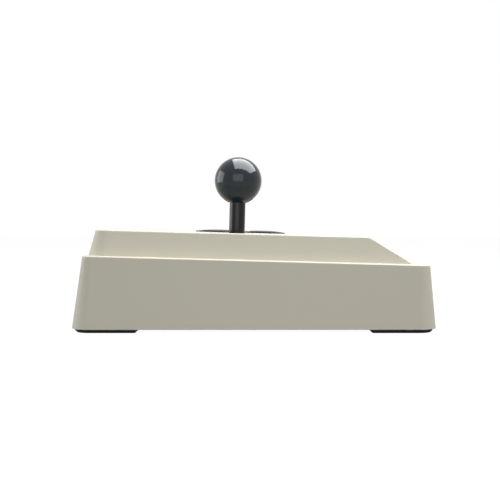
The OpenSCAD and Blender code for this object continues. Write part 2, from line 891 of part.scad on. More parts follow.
module pivot() {
  color(nylon) at_lever() difference() {
    intersection() {
      translate([0, 0, pivot_w]) sphere(r = pivot_r);
      translate([0, 0, pivot_w - pivot_down]) cylinder(r = 2 * pivot_r, h = pivot_up + pivot_down);
    }
    translate([0, 0, pivot_w - pivot_r]) cylinder(r = shaft_r + fit_gap / 2, h = 2 * pivot_r);
  }
}

module actuator() {
  inner = shaft_tail_r + fit_gap;
  color(nylon) at_lever() rotate_extrude()
    polygon([
      [inner, nose_bottom], [nose_r, nose_bottom], [nose_r, actuator_shoulder],
      [actuator_r, actuator_shoulder], [actuator_r, actuator_top], [inner, actuator_top]
    ]);
}

module e_clip() {
  color(steel) at_lever() difference() {
    ring(clip_groove_r + fit_gap, clip_r, nose_bottom - clip_t - fit_gap, clip_t);
    translate([0, -clip_mouth / 2, nose_bottom - clip_t - overrun])
      cube([clip_r + overrun, clip_mouth, clip_t + overrun]);
  }
}

// BUTTONS

module button_body(i) {
  floor_w = -barrel_l;
  ear_top = -deck_t - fit_gap;
  lug_top = rim_h + cap_proud - cap_skirt;
  window_h = lug_h + cap_travel + 2 * run_gap;
  profile = concat(
    [[stem_r + stem_gap, floor_w], [barrel_r, floor_w], [barrel_r, 0], [rim_d / 2, 0]],
    arc(rim_d / 2 - rim_round, rim_h - rim_round, rim_round, 0, 90, 5),
    [
      [bore_r + rim_round / 2, rim_h], [bore_r, rim_h - rim_round / 2], [bore_r, floor_w + barrel_floor_t],
      [stem_r + stem_gap, floor_w + barrel_floor_t]
    ]
  );
  color(black) at_button(i) difference() {
    union() {
      rotate_extrude() polygon(profile);
      for (turn = [90, 270]) {
        rotate(turn) translate([barrel_r - ear_out, ear_w / 2, 0]) rotate([90, 0, 0]) linear_extrude(ear_w)
          polygon([[0, ear_top], [2 * ear_out, ear_top], [ear_out, ear_top - ear_h], [0, ear_top - ear_h]]);
        rotate(turn) translate([switch_t / 2 + fit_gap, -arm_w / 2, floor_w - arm_l])
          cube([arm_t, arm_w, arm_l + barrel_floor_t / 2]);
      }
    }
    for (turn = [0, 180]) {
      rotate(turn) translate([bore_r - overrun, -lug_w / 2 - run_gap, lug_top + run_gap - window_h])
        cube([rim_d, lug_w + 2 * run_gap, window_h]);
    }
    for (turn = [90, 270]) {
      for (side = [-1, 1]) {
        rotate(turn) translate([bore_r - overrun, side * (ear_w / 2 + run_gap) - run_gap, ear_top])
          mirror([0, 0, 1]) cube([rim_d, 2 * run_gap, 2 * ear_h]);
      }
    }
  }
}

module button_cap(i) {
  top = rim_h + cap_proud;
  skirt_bottom = top - cap_skirt - lug_h;
  stem_bottom = -barrel_l - stem_in_switch;
  crown_r = (cap_d * cap_d / 4 + crown_h * crown_h) / (2 * crown_h);
  half = asin(cap_d / 2 / crown_r);
  inner_r = cap_d / 2 - cap_wall;
  inner_top = top - crown_h - cap_top_t;
  profile = concat(
    arc(0, top - crown_r, crown_r, 90 - half, 90, 8),
    [
      [0, stem_bottom], [stem_r, stem_bottom], [stem_r, inner_top], [inner_r, inner_top],
      [inner_r, skirt_bottom], [cap_d / 2, skirt_bottom]
    ]
  );
  color(black) at_button(i) {
    rotate_extrude() polygon(profile);
    for (turn = [0, 180]) {
      rotate(turn) translate([inner_r + fit_gap, -lug_w / 2, skirt_bottom])
        cube([cap_wall + lug_out - fit_gap, lug_w, lug_h]);
    }
  }
}

module button_switch(i) {
  top = -barrel_l;
  color(slate) at_button(i) difference() {
    union() {
      translate([-switch_l / 2, -switch_t / 2, top - switch_h]) cube([switch_l, switch_t, switch_h]);
      for (x = [-tab_x, 0, tab_x]) {
        translate([x - tab_w / 2, -tab_t / 2, top - switch_h - tab_l]) cube([tab_w, tab_t, tab_l + overrun]);
      }
    }
    translate([0, 0, top - stem_in_switch - cap_travel - 2 * run_gap])
      cylinder(r = stem_r + stem_gap, h = stem_in_switch + cap_travel + 2 * run_gap + overrun);
  }
}

module function_cap(i) {
  color(black) on_deck(key_x(i), keys_v) {
    translate([0, 0, -deck_t - run_gap]) cylinder(d = key_d, h = deck_t + run_gap + key_proud);
    translate([0, 0, key_underside]) cylinder(r = key_d / 2 + key_flange, h = key_flange_t);
  }
}

module function_board() {
  color(board_green) on_deck(keys_x, keys_v) difference() {
    translate([0, 0, key_board_top]) plate(key_board_w, key_board_d, key_post_r, board_t);
    for (side = [-1, 1]) {
      translate([side * key_post_x, 0, key_board_top - board_t - overrun])
        cylinder(r = board_screw_r + fit_gap, h = board_t + 2 * overrun);
    }
  }
}

module tact_switches() {
  color(slate) for (i = [1:keys]) {
    on_deck(key_x(i), keys_v) translate([0, 0, key_board_top]) {
      translate([-tact_w / 2, -tact_w / 2, 0]) cube([tact_w, tact_w, tact_h]);
      translate([0, 0, tact_h]) cylinder(r = tact_nub_r, h = tact_nub_h);
    }
  }
}

// ELECTRONICS

module main_board_spots() {
  for (sx = [-1, 1]) {
    for (sy = [-1, 1]) {
      translate([sx * (main_w / 2 - board_hole_in), main_mid + sy * (main_d / 2 - board_hole_in), 0])
        children();
    }
  }
}

module main_board() {
  color(board_green) difference() {
    translate([0, main_mid, main_top]) plate(main_w, main_d, board_hole_in / 2, board_t);
    main_board_spots() translate([0, 0, main_bottom - overrun])
      cylinder(r = board_screw_r + fit_gap, h = board_t + 2 * overrun);
  }
}

module board_parts() {
  color(black) {
    translate([-chip_w / 2, main_mid - chip_w / 2, main_top]) cube([chip_w, chip_w, chip_h]);
    for (side = [-1, 1]) {
      translate([side * header_x - header_w / 2, header_y - header_d / 2, main_top])
        cube([header_w, header_d, header_h]);
    }
  }
}

module socket_outline(rx, ry, l) {
  translate([ry - rx, -ry, 0]) cube([2 * (rx - ry), 2 * ry, l]);
  for (side = [-1, 1]) {
    translate([side * (rx - ry), 0, 0]) cylinder(r = ry, h = l);
  }
}

module usb_socket() {
  mouth_l = socket_l - socket_back_t;
  color(steel) translate([0, recess_floor, socket_z]) rotate([90, 0, 0]) {
    difference() {
      socket_outline(socket_w / 2, socket_h / 2, socket_l);
      translate([0, 0, -overrun])
        socket_outline(socket_w / 2 - socket_shell, socket_h / 2 - socket_shell, mouth_l + overrun);
    }
    translate([-tongue_w / 2, -tongue_t / 2, tongue_in]) cube([tongue_w, tongue_t, mouth_l]);
  }
}

module board_screws() {
  color(steel) {
    main_board_spots() translate([0, 0, main_top]) mirror([0, 0, 1])
      screw(board_screw_r, board_screw_l, board_head_r, board_head_h);
    for (side = [-1, 1]) {
      on_deck(keys_x + side * key_post_x, keys_v)
        translate([0, 0, key_board_top - board_t])
          screw(board_screw_r, board_screw_l, board_head_r, board_head_h);
    }
  }
}

// WIRING

header_top = main_top + header_h;

module lever_harness() {
  from = placed(lever_x, lever_v + lever_base_w / 2 + lever_tab_l - run_gap - connector_d / 2,
    deck_h + base_bottom + connector_h + fit_gap);
  to = [-header_x, header_y, header_top + fit_gap];
  way = [0, -sin(case_tilt), cos(case_tilt)];
  color(black) tube(arch_path(from, way, to), lever_bundle_r, bundle_sides);
}

module button_harness() {
  tab_end = -barrel_l - switch_h - tab_l;
  trunk_h = deck_h + tab_end - trunk_drop;
  middle = placed(keys_x, row_mid_v, trunk_h);
  to = [header_x, header_y, header_top + fit_gap];
  color(black) {
    tube(arch_path(middle, [0, 1, 0], to), button_bundle_r, bundle_sides);
    bar(placed(first_col_x, row_mid_v, trunk_h), placed(col_x(cols), row_mid_v, trunk_h), button_bundle_r);
    for (i = [1:buttons]) {
      bar(placed(col_x(i), row_mid_v, trunk_h), placed(col_x(i), row_v(i), deck_h + tab_end - wire_r),
        wire_r);
    }
  }
}

// NODES

top_housing();
base_plate();
case_screws();
foot(-1, -1);  // foot_front_left
foot(1, -1);  // foot_front_right
foot(-1, 1);  // foot_back_left
foot(1, 1);  // foot_back_right
mount_plate();
plate_screws();
lever_base();
lever_base_screws();
lever_board();
lever_switches();
lever_connector();
restrictor_gate();
spring_seat();
return_spring();
ball_top();
lever_shaft();
shaft_cover();
dust_washer();
pivot();
actuator();
e_clip();
function_board();
tact_switches();
main_board();
board_parts();
usb_socket();
board_screws();
lever_harness();
button_harness();
for (i = [1:buttons]) {
  button_body(i);
  button_cap(i);
  button_switch(i);
}
for (i = [1:keys]) {
  function_cap(i);
}
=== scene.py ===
import json
import math

import bmesh
import bpy
from bpy.props import FloatProperty, FloatVectorProperty, IntProperty, PointerProperty
from mathutils import Matrix, Vector


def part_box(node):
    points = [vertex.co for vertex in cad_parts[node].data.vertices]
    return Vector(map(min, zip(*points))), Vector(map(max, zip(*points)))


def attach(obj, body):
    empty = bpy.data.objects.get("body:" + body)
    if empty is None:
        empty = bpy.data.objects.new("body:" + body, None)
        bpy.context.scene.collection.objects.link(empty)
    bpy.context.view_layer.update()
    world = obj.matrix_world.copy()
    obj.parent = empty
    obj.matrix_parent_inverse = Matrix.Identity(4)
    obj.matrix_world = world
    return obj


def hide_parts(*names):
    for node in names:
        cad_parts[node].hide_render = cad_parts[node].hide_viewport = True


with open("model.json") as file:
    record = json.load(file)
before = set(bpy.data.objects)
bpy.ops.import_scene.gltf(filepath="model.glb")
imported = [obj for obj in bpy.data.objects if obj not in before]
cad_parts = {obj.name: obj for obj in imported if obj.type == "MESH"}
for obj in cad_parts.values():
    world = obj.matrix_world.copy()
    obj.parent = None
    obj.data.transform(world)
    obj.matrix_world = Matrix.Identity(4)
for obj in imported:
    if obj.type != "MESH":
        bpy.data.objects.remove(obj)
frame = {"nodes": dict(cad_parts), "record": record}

bl_info = {
    "name": "Arcade Fight Stick",
    "version": (1, 0, 0),
    "blender": (4, 5, 0),
    "location": "View3D > Sidebar > Fight Stick",
    "description": "Dresses a fight stick: moulded case, ball-top lever, snap-in buttons and studio",
    "category": "Object",
}

MM = 0.001
CORNER_STEPS = 12
FILLET_STEPS = 8
HOLE_STEPS = 4
BALL_STEPS = 48
ROUND_STEPS = 6
SMOOTH_ANGLE = math.radians(32)
ZERO = Vector((0, 0, 0))


# ---- Sizes and colours

def length_property(name, about, size):
    """Length whose default is given in millimetres."""
    return FloatProperty(name=name, description=about, default=size * MM, unit="LENGTH")


def angle_property(name, about, degrees):
    """Angle whose default is given in degrees."""
    return FloatProperty(name=name, description=about, default=math.radians(degrees), unit="ROTATION")


def paint_property(name, rgb):
    """Colour whose default is given in screen values."""
    return FloatVectorProperty(
        name=name, description=name + " as it looks on a screen", subtype="COLOR_GAMMA", size=3, min=0,
        max=1, default=[c / 255 for c in rgb])


class CaseSizes(bpy.types.PropertyGroup):
    """Sizes of the case. All but the front's ledge and slope are as the frame has them."""
    width: length_property("Width", "Width at the bottom edge", 340)
    depth: length_property("Depth", "Depth at the bottom edge", 241)
    corner: length_property("Corner", "Corner radius at the bottom edge", 12.5)
    foot: length_property("Foot height", "Height of the feet", 2.5)
    tilt: angle_property("Deck tilt", "Slope of the deck to the player", 1.55)
    ledge: length_property("Ledge height", "Ledge over the bottom edge", 44.7)
    tier: length_property("Tier height", "Deck over the ledge", 17.2)
    draft: angle_property("Wall draft", "Draft of the lower walls", 6.8)
    tier_draft: angle_property("Tier draft", "Draft of the tier's back and sides", 14.5)
    front_slope: angle_property("Front slope", "Slope of the tier's front from the deck", 31)
    side_ledge: length_property("Side ledge", "Width of the ledge at the sides", 8)
    back_ledge: length_property("Back ledge", "Width of the ledge at the back", 1.6)
    front_ledge: length_property("Front ledge", "Width of the ledge at the player's side", 10.5)
    tier_corner: length_property("Tier corner", "Corner radius of the tier at the ledge", 14)
    front_corner: length_property("Front corner", "Corner radius beside the front slope", 1.2)
    edge: length_property("Edge", "Rounding of the outer edges", 0.8)
    crest: length_property("Crest", "Rounding between the deck and the front slope", 1)
    inner_edge: length_property("Inner edge", "Rounding where the tier meets the ledge", 0.6)
    wall: length_property("Wall", "Thickness of the walls", 2.5)
    deck: length_property("Deck thickness", "Thickness of the deck", 3)


class ControlSizes(bpy.types.PropertyGroup):
    """Sizes of what stands in the deck."""
    lever_hole: length_property("Lever hole", "Diameter of the lever's hole", 24)
    lever_side: length_property("Lever side", "Lever's distance from the middle, to the left", 85)
    lever_back: length_property("Lever back", "Lever's distance behind the deck's middle", 14)
    ball: length_property("Ball", "Diameter of the ball", 35)
    ball_height: length_property("Ball height", "Ball's centre over the deck", 38.9)
    cover: length_property("Shaft cover", "Outer diameter of the shaft cover", 11.8)
    button_hole: length_property("Button hole", "Diameter of a button's hole", 30)
    rim: length_property("Rim", "Outer diameter of a button's rim", 33.3)
    rim_height: length_property("Rim height", "Height of the rim over the deck", 0.8)
    cap: length_property("Cap", "Diameter of a button's cap", 24)
    cap_proud: length_property("Crown height", "Cap's crown over the rim", 0.8)
    first_column: length_property("First column", "From the lever to the first column", 62)
    rows_back: length_property("Rows back", "Rows' middle behind the deck's middle", 12)
    columns: IntProperty(name="Columns", description="Columns of buttons", default=4)
    rows: IntProperty(name="Rows", description="Rows of buttons", default=2)
    column_pitch: length_property("Column pitch", "Distance between columns", 36)
    row_pitch: length_property("Row pitch", "Distance between rows", 39.5)
    keys: IntProperty(name="Function keys", description="Number of function keys", default=4)
    key: length_property("Function key", "Diameter of a function key", 10)
    key_pitch: length_property("Key pitch", "Distance between function keys", 18)
    key_back: length_property("Key back", "From the tier's back to the function keys", 31)


class StickColours(bpy.types.PropertyGroup):
    """Colours of the finishes."""
    case: paint_property("Case plastic", (215, 211, 195))
    ball: paint_property("Ball", (24, 35, 44))
    gloss_black: paint_property("Glossy black plastic", (16, 17, 19))
    foot: paint_property("Foot rubber", (14, 14, 14))
    plate: paint_property("Base plate", (30, 30, 32))
    zinc: paint_property("Zinc-plated steel", (190, 192, 196))
    nylon: paint_property("Nylon", (228, 225, 214))
    mask: paint_property("Circuit board", (18, 74, 42))


class StudioLight(bpy.types.PropertyGroup):
    """Lamps and camera."""
    key: FloatProperty(name="Key", description="Power of the softbox overhead, which no gloss shows",
                       default=22.5, unit="POWER")
    back: FloatProperty(name="Back", description="Power of the softbox behind the stick", default=8.5,
                        unit="POWER")
    fill: FloatProperty(name="Side fill", description="Power of the fill behind the camera", default=5.2,
                        unit="POWER")
    card: FloatProperty(name="Card", description="Power of the card overhead, which only gloss shows",
                        default=102.0, unit="POWER")
    room: FloatProperty(name="Room", description="Strength of the room's light", default=0.1,
                        subtype="FACTOR")
    floor: FloatProperty(name="Floor", description="How much light the floor gives back", default=0.3,
                         subtype="FACTOR")
    camera: FloatVectorProperty(name="Camera", description="Place of the camera", subtype="TRANSLATION",
                                unit="LENGTH", size=3, default=(-0.733, 0.0025, 0.0695))
    pitch: angle_property("Pitch", "How far the camera looks down", 1.533)
    view_angle: angle_property("View angle", "Camera's field of view", 32.07)


def case_sizes():
    return bpy.context.scene.stick_case


def control_sizes():
    return bpy.context.scene.stick_controls


# ---- Geometry helpers

def case_matrix(height):
    """Frame of the deck's slope, at a height over the bottom edge."""
    s = case_sizes()
    return (Matrix.Translation((0, 0, s.foot)) @ Matrix.Rotation(s.tilt, 4, "X")
            @ Matrix.Translation((0, 0, height)))


def deck_height():
    s = case_sizes()
    return s.ledge + s.tier


def case_bounds():
    """Outline of the case where the sloping frame passes the bottom edge: back and front."""
    s = case_sizes()
    half = s.depth / 2 * math.cos(s.tilt)
    lean = math.tan(s.tilt) * math.tan(s.draft)
    return half * (1 - lean), -half * (1 + lean)


def lever_spot():
    """Where the lever stands on the deck: across it, and along it to the back."""
    c = control_sizes()
    return Vector((-c.lever_side, c.lever_back))


def button_spot(i):
    c = control_sizes()
    row, column = divmod(i, c.columns)
    return Vector((c.first_column - c.lever_side + column * c.column_pitch,
                   c.rows_back + ((c.rows - 1) / 2 - row) * c.row_pitch))


def key_spot(i):
    s, c = case_sizes(), control_sizes()
    tier_back = case_bounds()[0] - s.ledge * math.tan(s.draft) - s.back_ledge
    middle = c.first_column - c.lever_side + (c.columns - 1) / 2 * c.column_pitch
    return Vector((middle + (i - (c.keys - 1) / 2) * c.key_pitch, tier_back - c.key_back))


def on_deck(spot, height=0.0):
    return case_matrix(deck_height()) @ Matrix.Translation((spot.x, spot.y, height))


def corner_arc(centre, radius, start):
    """Points and outward directions along a quarter circle."""
    made = []
    for k in range(CORNER_STEPS + 1):
        a = math.radians(start + 90 * k / CORNER_STEPS)
        n = Vector((math.cos(a), math.sin(a)))
        made.append((centre + n * radius, n))
    return made


def outline(half_width, back, front, back_radius, front_radius):
    """Rounded outline with the outward direction at each point, from the back right corner on."""
    made = []
    for sx, at_back, start in ((1, True, 0), (-1, True, 90), (-1, False, 180), (1, False, 270)):
        r = back_radius if at_back else front_radius
        centre = Vector((sx * (half_width - r), back - r if at_back else front + r))
        made += corner_arc(centre, r, start)
    return made


def rounded_polygon(corners, radii):
    """Convex outline with rounded corners, as arcs of (centre, direction, radius)."""
    made = []
    count = len(corners)
    for i, (corner, r) in enumerate(zip(corners, radii)):
        into = (corner - corners[i - 1]).normalized()
        out = (corners[(i + 1) % count] - corner).normalized()
        n1, n2 = Vector((into.y, -into.x)), Vector((out.y, -out.x))
        centre = corner - (n1 + n2) * r / (1 + n1.dot(n2))
        start = math.atan2(n1.y, n1.x)
        turn = n1.angle(n2)
        for k in range(CORNER_STEPS + 1):
            a = start + turn * k / CORNER_STEPS
            made.append((centre, Vector((math.cos(a), math.sin(a))), r))
    return made


def add_ring(bm, points):
    return [bm.verts.new(p) for p in points]


def bridge(bm, lower, upper):
    """Quads between two rings of as many points."""
    count = len(lower)
    for i in range(count):
        j = (i + 1) % count
        bm.faces.new((lower[i], lower[j], upper[j], upper[i]))


def loft(bm, rings):
    """Joins rings of points in turn, and returns the first and last rings of vertices."""
    made = [add_ring(bm, ring) for ring in rings]
    for lower, upper in zip(made, made[1:]):
        bridge(bm, lower, upper)
    return made[0], made[-1]


def fill_between(bm, outer, holes):
    """Flat face with holes, as triangles."""
    edges = []
    for ring in [outer] + holes:
        for i, v in enumerate(ring):
            edges.append(bm.edges.get((v, ring[(i + 1) % len(ring)]))
                         or bm.edges.new((v, ring[(i + 1) % len(ring)])))
    bmesh.ops.triangle_fill(bm, use_beauty=True, use_dissolve=False, edges=edges)


def circle(centre, radius, height, steps):
    made = []
    for k in range(steps):
        a = 2 * math.pi * k / steps
        made.append(Vector((centre.x + radius * math.cos(a), centre.y + radius * math.sin(a), height)))
    return made


def lathe(bm, profile, matrix, steps=96):
    """Turned solid: a closed profile of (radius, height), where a radius of zero is a pole."""
    rings = []
    for radius, height in profile:
        if radius == 0:
            rings.append([bm.verts.new(matrix @ Vector((0, 0, height)))])
        else:
            rings.append(add_ring(bm, [matrix @ p for p in circle(ZERO, radius, height, steps)]))
    for lower, upper in zip(rings, rings[1:] + rings[:1]):
        if len(lower) == len(upper) == 1:
            continue
        for i in range(steps):
            j = (i + 1) % steps
            if len(lower) == 1:
                bm.faces.new((lower[0], upper[j], upper[i]))
            elif len(upper) == 1:
                bm.faces.new((lower[i], lower[j], upper[0]))
            else:
                bm.faces.new((lower[i], lower[j], upper[j], upper[i]))


def rounded(profile, radii):
    """Closed profile whose corners are rounded; a radius of zero leaves a corner as it is."""
    made = []
    count = len(profile)
    for i, (point, r) in enumerate(zip(profile, radii)):
        p = Vector(point)
        if r == 0:
            made.append(tuple(p))
            continue
        a = (Vector(profile[i - 1]) - p).normalized()
        b = (Vector(profile[(i + 1) % count]) - p).normalized()
        half = a.angle(b) / 2
        centre = p + (a + b).normalized() * (r / math.sin(half))
        start = p + a * (r / math.tan(half)) - centre
        end = p + b * (r / math.tan(half)) - centre
        turn = start.angle_signed(end)
        for k in range(ROUND_STEPS + 1):
            spoke = start.copy()
            spoke.rotate(Matrix.Rotation(-turn * k / ROUND_STEPS, 2))
            made.append(tuple(centre + spoke))
    return made


def finish_mesh(bm, name, material, flat_normals=False):
    """Makes an object of the mesh, smooth but for its sharp edges."""
    bmesh.ops.remove_doubles(bm, verts=bm.verts, dist=1e-7)
    bmesh.ops.recalc_face_normals(bm, faces=bm.faces)
    for face in bm.faces:
        face.smooth = True
    for edge in bm.edges:
        edge.smooth = len(edge.link_faces) != 2 or edge.calc_face_angle(0) < SMOOTH_ANGLE
    mesh = bpy.data.meshes.new(name)
    bm.to_mesh(mesh)
    bm.free()
    mesh.materials.append(material)
    made = bpy.data.objects.new(name, mesh)
    bpy.context.scene.collection.objects.link(made)
    if flat_normals:
        weigh_normals(made)
    return made


def weigh_normals(made):
    """Lets the large flat faces set the shading, so that fillets don't bleed into them."""
    weighted = made.modifiers.new("flat_faces", "WEIGHTED_NORMAL")
    weighted.keep_sharp = True
    weighted.weight = 100


def make_plain(made):
    """Turns what the modifiers make into the object's own mesh."""
    graph = bpy.context.evaluated_depsgraph_get()
    mesh = bpy.data.meshes.new_from_object(made.evaluated_get(graph))
    made.modifiers.clear()
    made.data = mesh


# ---- Node helpers

class Wire:
    """A node's output that takes part in Python sums."""

    def __init__(self, graph, socket):
        self.graph = graph
        self.socket = socket

    def combine(self, operation, first, second):
        return self.graph.node("ShaderNodeMath", {"operation": operation}, {0: first, 1: second})

    def __add__(self, other):
        return self.combine("ADD", self, other)

    def __sub__(self, other):
        return self.combine("SUBTRACT", self, other)

    def __rsub__(self, other):
        return self.combine("SUBTRACT", other, self)

    def __mul__(self, other):
        return self.combine("MULTIPLY", self, other)

    def __truediv__(self, other):
        return self.combine("DIVIDE", self, other)

    def __rtruediv__(self, other):
        return self.combine("DIVIDE", other, self)

    def __gt__(self, other):
        return self.combine("GREATER_THAN", self, other)

    __radd__ = __add__
    __rmul__ = __mul__


class Graph:
    """A node tree that is filled by calls."""

    def __init__(self, tree):
        self.tree = tree

    def node(self, kind, settings=None, inputs=None, output=0):
        """Adds a node: its settings first, then its sockets' values or links, or a list of links."""
        made = self.tree.nodes.new(kind)
        for key, value in (settings or {}).items():
            setattr(made, key, value)
        for key, value in (inputs or {}).items():
            if isinstance(value, (Wire, list)):
                for wire in value if isinstance(value, list) else [value]:
                    self.tree.links.new(wire.socket, made.inputs[key])
            else:
                made.inputs[key].default_value = value
        return Wire(self, made.outputs[output]) if len(made.outputs) else None


def linear(colour, light):
    """Screen colour as the shader takes it, so many times as light."""
    values = [c / 12.92 if c <= 0.04045 else ((c + 0.055) / 1.055) ** 2.4 for c in colour]
    return tuple(min(v * light, 1.0) for v in values) + (1.0,)


class Finish(Graph):
    """A material: pattern sockets first, then one call that lays them on the surface."""

    def __init__(self, name):
        self.material = bpy.data.materials.new(name)
        self.material.use_nodes = True
        super().__init__(self.material.node_tree)
        self.tree.nodes.clear()
        self.place = self.node("ShaderNodeTexCoord", output="Object")

    def noise(self, scale, detail=2.0, stretch=None, roughness=0.5):
        """Noise from 0 to 1, so many cells to the metre."""
        place = self.place
        if stretch:
            place = self.node("ShaderNodeMapping", None, {"Vector": place, "Scale": stretch})
        return self.node("ShaderNodeTexNoise", None,
                         {"Vector": place, "Scale": scale, "Detail": detail, "Roughness": roughness})

    def cells(self, scale):
        return self.node("ShaderNodeTexVoronoi", {"feature": "F1"},
                         {"Vector": self.place, "Scale": scale})

    def mix(self, factor, first, second):
        return self.node("ShaderNodeMix", {"data_type": "RGBA"}, {0: factor, 6: first, 7: second}, 2)

    def bump(self, height, depth):
        return self.node("ShaderNodeBump", None, {"Height": height, "Distance": depth}, "Normal")

    def lay(self, colour, roughness, normal, metallic=0.0, level=0.5):
        """Lays colour, roughness and relief on the surface. Metallic and gloss level are constants."""
        surface = self.node("ShaderNodeBsdfPrincipled", None, {
            "Base Color": colour, "Roughness": roughness, "Metallic": metallic,
            "Specular IOR Level": level, "Normal": normal})
        self.node("ShaderNodeOutputMaterial", None, {"Surface": surface})
        return self.material


# ---- Finishes

FINISHES = {}


def finish(name):
    """The material of that name, made when it is first asked for."""
    if name not in FINISHES:
        FINISHES[name] = MAKERS[name](name, bpy.context.scene.stick_colours)
    return FINISHES[name]


def case_plastic(name, colours):
    """Fine satin texture of a moulded case, faintly uneven in colour and gloss."""
    f = Finish(name)
    drift = f.noise(14, 3)
    fine = f.noise(2600, 2, roughness=0.6)
    colour = f.mix(drift, linear(colours.case, 0.975), linear(colours.case, 1.02))
    return f.lay(colour, 0.47 + fine * 0.08 + drift * 0.05, f.bump(fine, 0.000012), level=0.2)


def ball_gloss(name, colours):
    """Polished ball with the faint haze of hands."""
    f = Finish(name)
    haze = f.noise(55, 4)
    wear = f.noise(900, 2, stretch=(1, 1, 0.25))
    colour = f.mix(haze, linear(colours.ball, 0.9), linear(colours.ball, 1.12))
    return f.lay(colour, 0.08 + haze * 0.06 + wear * 0.02, f.bump(f.noise(700, 1), 0.000002), level=0.36)


def cover_gloss(name, colours):
    """Drawn tube, glossy with faint lines along it."""
    f = Finish(name)
    lines = f.noise(800, 2, stretch=(1, 1, 0.04))
    colour = f.mix(f.noise(70, 2), linear(colours.gloss_black, 0.85), linear(colours.gloss_black, 1.1))
    return f.lay(colour, 0.1 + lines * 0.06, f.bump(lines, 0.000002), level=0.26)


def button_gloss(name, colours):
    """Moulded glossy plastic with light scuffs."""
    f = Finish(name)
    scuffs = f.noise(420, 3)
    colour = f.mix(f.noise(60, 2), linear(colours.gloss_black, 0.9), linear(colours.gloss_black, 1.25))
    return f.lay(colour, 0.36 + scuffs * 0.12, f.bump(f.noise(1500, 1), 0.000003), level=0.15)


def foot_rubber(name, colours):
    """Matt moulded rubber with a pebbled skin."""
    f = Finish(name)
    pebbles = f.cells(1500)
    colour = f.mix(f.noise(90, 3), linear(colours.foot, 0.85), linear(colours.foot, 1.3))
    return f.lay(colour, 0.72 + pebbles * 0.15, f.bump(pebbles, 0.00004), level=0.2)


def plate_powder(name, colours):
    """Powder coat on sheet steel, with its orange peel."""
    f = Finish(name)
    peel = f.noise(650, 2)
    colour = f.mix(f.noise(30, 3), linear(colours.plate, 0.9), linear(colours.plate, 1.15))
    return f.lay(colour, 0.5 + peel * 0.14, f.bump(peel, 0.00003))


def zinc_steel(name, colours):
    """Zinc-plated steel with drawn lines."""
    f = Finish(name)
    lines = f.noise(900, 3, stretch=(1, 1, 0.08))
    colour = f.mix(f.noise(120, 3), linear(colours.zinc, 0.85), linear(colours.zinc, 1.0))
    return f.lay(colour, 0.28 + lines * 0.16, f.bump(lines, 0.000006), metallic=1.0)


def inner_plastic(name, colours):
    """Plain moulded black plastic of the inner parts."""
    f = Finish(name)
    grain = f.noise(1400, 2)
    colour = f.mix(f.noise(50, 2), linear(colours.gloss_black, 1.2), linear(colours.gloss_black, 2.0))
    return f.lay(colour, 0.5 + grain * 0.15, f.bump(grain, 0.00001))


def nylon(name, colours):
    """Natural nylon, a little waxy."""
    f = Finish(name)
    cloud = f.noise(160, 3)
    colour = f.mix(cloud, linear(colours.nylon, 0.92), linear(colours.nylon, 1.0))
    return f.lay(colour, 0.38 + cloud * 0.1, f.bump(f.noise(1200, 1), 0.000006))


def circuit_board(name, colours):
    """Green solder mask with the tracks that run under it."""
    f = Finish(name)
    tracks = f.node("ShaderNodeTexBrick", {"offset": 0.5, "squash": 1.0}, {
        "Vector": f.place, "Scale": 260.0, "Mortar Size": 0.09, "Color1": (0, 0, 0, 1),
        "Color2": (0, 0, 0, 1), "Mortar": (1, 1, 1, 1)}, "Fac")
    colour = f.mix(tracks, linear(colours.mask, 1.0), linear(colours.mask, 1.7))
    return f.lay(colour, 0.3 + f.noise(200, 2) * 0.1, f.bump(tracks, 0.00003))


def socket_shell(name, colours):
    """Bright stamped steel."""
    f = Finish(name)
    marks = f.noise(700, 3)
    return f.lay(f.mix(marks, linear(colours.zinc, 0.95), linear(colours.zinc, 1.1)), 0.16 + marks * 0.14,
                 f.bump(marks, 0.000004), metallic=1.0)


def wire_skin(name, colours):
    """Soft insulation of the wiring."""
    f = Finish(name)
    skin = f.noise(600, 2)
    colour = f.mix(skin, linear(colours.gloss_black, 1.2), linear(colours.gloss_black, 2.2))
    return f.lay(colour, 0.45 + skin * 0.15, f.bump(skin, 0.00002))


MAKERS = {maker.__name__: maker for maker in (
    case_plastic, ball_gloss, cover_gloss, button_gloss, foot_rubber, plate_powder, zinc_steel,
    inner_plastic, nylon, circuit_board, socket_shell, wire_skin)}


# ---- Case

def lower_outline():
    """Outline of the lower walls at the bottom edge."""
    s = case_sizes()
    back, front = case_bounds()
    return outline(s.width / 2, back, front, s.corner, s.corner)


def level_ring(inset, rise):
    """Ring of the lower walls at a level height over the bottom edge, so far inside them."""
    s = case_sizes()
    lean, sine, cosine = math.tan(s.draft), math.sin(s.tilt), math.cos(s.tilt)
    matrix = case_matrix(0)
    ring = []
    for p, n in lower_outline():
        h = (rise - (p.y - n.y * inset) * sine) / (cosine - n.y * lean * sine)
        q = p - n * (inset + h * lean)
        ring.append(matrix @ Vector((q.x, q.y, h)))
    return ring


def wall_ring(inset, height):
    """Ring of the lower walls in the sloping frame."""
    matrix = case_matrix(height)
    return [matrix @ Vector((p.x - n.x * inset, p.y - n.y * inset, 0)) for p, n in lower_outline()]


def convex_edge(lean, top, radius):
    """Rounding from a leaning wall to the flat over it: how far in, and its height."""
    middle = radius * math.cos(lean) + (top - radius + radius * math.sin(lean)) * math.tan(lean)
    made = []
    for k in range(FILLET_STEPS + 1):
        a = lean + (math.pi / 2 - lean) * k / FILLET_STEPS
        made.append((middle - radius * math.cos(a), top - radius + radius * math.sin(a)))
    return made


